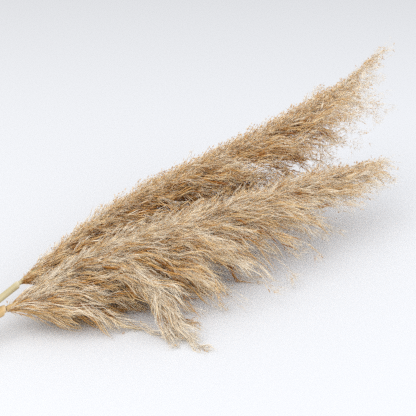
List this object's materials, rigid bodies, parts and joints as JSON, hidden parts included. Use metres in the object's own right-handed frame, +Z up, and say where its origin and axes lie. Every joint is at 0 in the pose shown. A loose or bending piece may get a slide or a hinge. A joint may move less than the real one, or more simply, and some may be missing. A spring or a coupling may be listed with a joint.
{
  "type": "bunch of reeds",
  "caption": "Bunch of dried plume reeds lying on their side, with bare straw stems, a leaf sheath round each stem and long drooping silky plumes.",
  "frame": {"origin": "on the surface that the bunch lies on, under the middle of its bounding box", "axes": "+X runs along the bunch from the cut ends of the stems to the plume tips, +Y points from the front reed to the back reed, +Z is up"},
  "size_m": [1.0782, 0.3511, 0.2261],
  "materials": {
    "front_straw": "dry satin straw, warm orange tan",
    "front_dry_leaf": "dry leaf with fine veins along it, orange tan",
    "back_straw": "dry satin straw, pale green tan",
    "back_dry_leaf": "dry leaf with fine veins along it, pale green tan",
    "dry_plume": "silky dried fibres, golden beige with pale tips"
  },
  "bodies": {
    "root": {"front_stem": "front_straw", "front_leaf_sheath": "front_dry_leaf", "front_plume": "dry_plume", "back_stem": "back_straw", "back_leaf_sheath": "back_dry_leaf", "back_plume": "dry_plume"}
  },
  "joints": []
}
